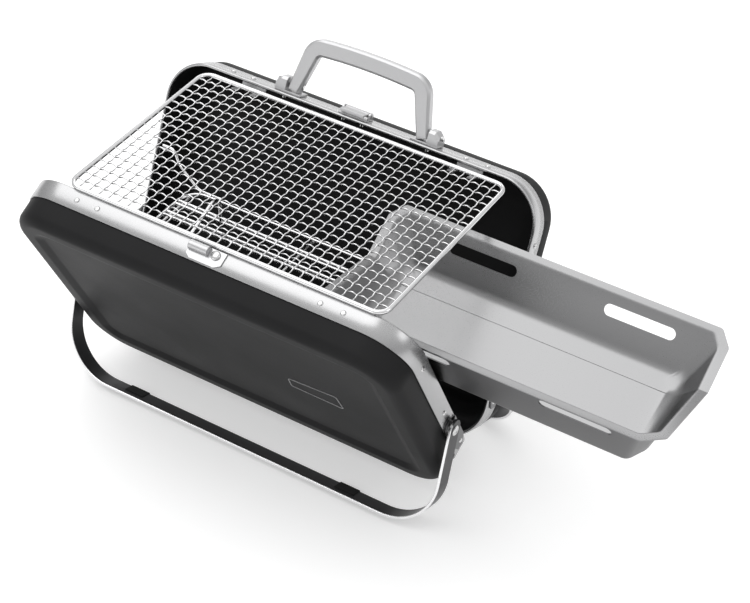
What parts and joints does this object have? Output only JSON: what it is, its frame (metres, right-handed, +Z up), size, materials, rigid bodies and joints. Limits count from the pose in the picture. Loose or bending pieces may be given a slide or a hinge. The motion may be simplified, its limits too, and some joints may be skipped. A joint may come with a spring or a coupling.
{
  "type": "folding camp grill",
  "caption": "Folding camp grill: two hinged black shells open into a V on U-shaped strap legs, with a woven wire grate on top, a carrying handle and a sliding charcoal trough.",
  "frame": {"origin": "on the surface that the feet stand on, under the middle of the bounding box with the trough pulled out", "axes": "+X the end that the trough slides out of, -Y the front with the catch and the badge, +Y the rear with the handle, +Z up"},
  "size_m": [0.7028, 0.3294, 0.3567],
  "materials": {
    "black_coat": "fine-textured satin black powder coat",
    "satin_steel": "satin brushed sheet",
    "black_strap": "satin black coat on the wide faces, bare bright edges",
    "rubber_foot": "matt black rubber",
    "brushed_trough": "brushed along its length",
    "cast_metal": "fine bead-blasted casting",
    "bright_wire": "bright wire and turned pins"
  },
  "bodies": {
    "front_case": {"front_pan": "black_coat", "front_band": "satin_steel", "front_hinge_leaf": "satin_steel", "hinge_pin": "bright_wire", "badge": "satin_steel", "catch_plate": "satin_steel", "catch_cover": "cast_metal", "catch_screw": "bright_wire", "front_leg_bracket_left": "satin_steel", "front_leg_pin_left": "bright_wire", "front_rack_lug_left": "bright_wire", "front_leg_bracket_right": "satin_steel", "front_leg_pin_right": "bright_wire", "front_rack_lug_right": "bright_wire", "front_rivet_1": "bright_wire", "front_rivet_2": "bright_wire", "front_rivet_3": "bright_wire", "front_rivet_4": "bright_wire"},
    "rear_case": {"rear_pan": "black_coat", "rear_band": "satin_steel", "rear_hinge_leaf": "satin_steel", "latch_plate": "satin_steel", "latch_pin": "bright_wire", "rear_leg_bracket_left": "satin_steel", "rear_leg_pin_left": "bright_wire", "rear_rack_lug_left": "bright_wire", "handle_bracket_left": "cast_metal", "handle_pin_left": "bright_wire", "grate_tab_left": "bright_wire", "rear_leg_bracket_right": "satin_steel", "rear_leg_pin_right": "bright_wire", "rear_rack_lug_right": "bright_wire", "handle_bracket_right": "cast_metal", "handle_pin_right": "bright_wire", "grate_tab_right": "bright_wire", "rear_rivet_1": "bright_wire", "rear_rivet_2": "bright_wire", "rear_rivet_3": "bright_wire", "rear_rivet_4": "bright_wire"},
    "front_leg": {"front_leg_strap": "black_strap", "front_leg_foot_left": "rubber_foot", "front_leg_foot_right": "rubber_foot"},
    "rear_leg": {"rear_leg_strap": "black_strap", "rear_leg_foot_left": "rubber_foot", "rear_leg_foot_right": "rubber_foot"},
    "handle": {"handle_bow": "cast_metal"},
    "latch": {"latch_lever": "cast_metal"},
    "rack": {"rack_grid": "bright_wire", "rack_bow_left": "bright_wire", "rack_bow_right": "bright_wire", "rack_hanger_front_left": "bright_wire", "rack_hanger_front_right": "bright_wire", "rack_hanger_rear_left": "bright_wire", "rack_hanger_rear_right": "bright_wire"},
    "trough": {"trough": "brushed_trough"},
    "grate": {"grate_frame": "bright_wire", "grate_mesh": "bright_wire"}
  },
  "joints": [
    {"name": "case_fold", "type": "hinge", "parent": "front_case", "child": "rear_case", "pos_m": [-0.11555, -0.00052, 0.03842], "axis": [1, 0, 0], "range_deg": [0, 50]},
    {"name": "front_leg_swing", "type": "hinge", "parent": "front_case", "child": "front_leg", "pos_m": [-0.11555, -0.05421, 0.12042], "axis": [1, 0, 0], "range_deg": [0, 37]},
    {"name": "rear_leg_swing", "type": "hinge", "parent": "rear_case", "child": "rear_leg", "pos_m": [-0.11555, 0.05316, 0.12042], "axis": [-1, 0, 0], "range_deg": [0, 37]},
    {"name": "handle_fold", "type": "hinge", "parent": "rear_case", "child": "handle", "pos_m": [-0.11555, 0.13672, 0.30434], "axis": [-1, 0, 0], "range_deg": [0, 90]},
    {"name": "latch_lift", "type": "hinge", "parent": "rear_case", "child": "latch", "pos_m": [-0.11555, 0.13762, 0.29917], "axis": [-1, 0, 0], "range_deg": [0, 100]},
    {"name": "rack_lift", "type": "slide", "parent": "front_case", "child": "rack", "axis": [0, 0, 1], "range_m": [0, 0.702]},
    {"name": "trough_slide", "type": "slide", "parent": "rack", "child": "trough", "axis": [1, 0, 0], "range_m": [-0.28, 0]},
    {"name": "grate_lift", "type": "slide", "parent": "rack", "child": "grate", "axis": [0, 0, 1], "range_m": [0, 0.1]}
  ],
  "couplings": [
    {"joint": "rack_lift", "follows": "case_fold", "m_per_rad": 0.8021}
  ]
}
